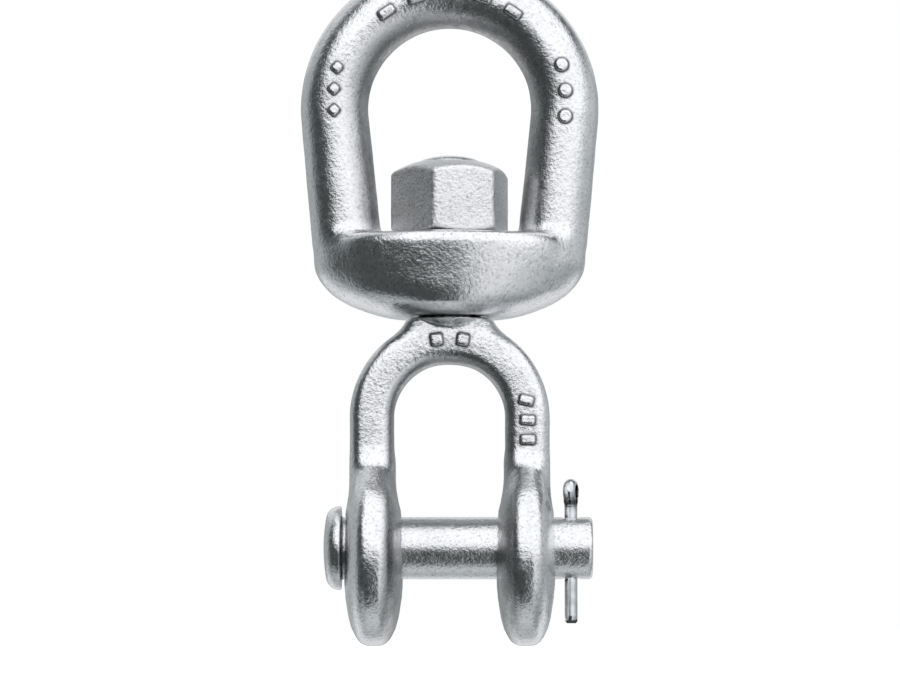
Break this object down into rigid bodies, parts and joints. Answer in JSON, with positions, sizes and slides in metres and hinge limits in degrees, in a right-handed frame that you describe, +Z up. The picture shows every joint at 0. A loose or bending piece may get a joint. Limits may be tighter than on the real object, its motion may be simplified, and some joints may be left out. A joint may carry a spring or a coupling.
{
  "type": "anchor swivel",
  "caption": "Forged swivel for an anchor rode: a closed bow turns on a nutted shank above an open jaw, which a headed clevis pin kept in by a cotter pin closes.",
  "frame": {"origin": "the middle of the bow's crown on its inside, where the chain or shackle bears", "axes": "+Z up along the swivel axis, from the jaw to the bow; +X along the clevis pin, from its head to its cotter pin; the bow lies in the XZ plane, and the front faces -Y"},
  "size_m": [0.0884, 0.053, 0.204],
  "materials": {
    "galvanised_bow": "hot-dip galvanised forging, bright grey with a fine pebbled skin",
    "galvanised_jaw": "hot-dip galvanised forging, bright grey with a fine pebbled skin",
    "galvanised_nut": "galvanised heavy hex nut, satin grey",
    "galvanised_pin": "galvanised bar, satin grey with a fine grain",
    "bright_zinc": "bright zinc plated wire, polished"
  },
  "bodies": {
    "bow": {"bow": "galvanised_bow"},
    "jaw": {"jaw": "galvanised_jaw", "swivel_nut": "galvanised_nut"},
    "clevis_pin": {"clevis_pin": "galvanised_pin"},
    "cotter_pin": {"cotter_pin": "bright_zinc"}
  },
  "joints": [
    {"name": "swivel_spin", "type": "hinge", "parent": "bow", "child": "jaw", "pos_m": [0, 0, -0.075], "axis": [0, 0, 1], "continuous": true},
    {"name": "pin_spin", "type": "hinge", "parent": "jaw", "child": "clevis_pin", "pos_m": [0, 0, -0.15555], "axis": [1, 0, 0], "continuous": true},
    {"name": "cotter_pull", "type": "slide", "parent": "clevis_pin", "child": "cotter_pin", "axis": [0, 0, 1], "range_m": [0, 0.034]}
  ]
}
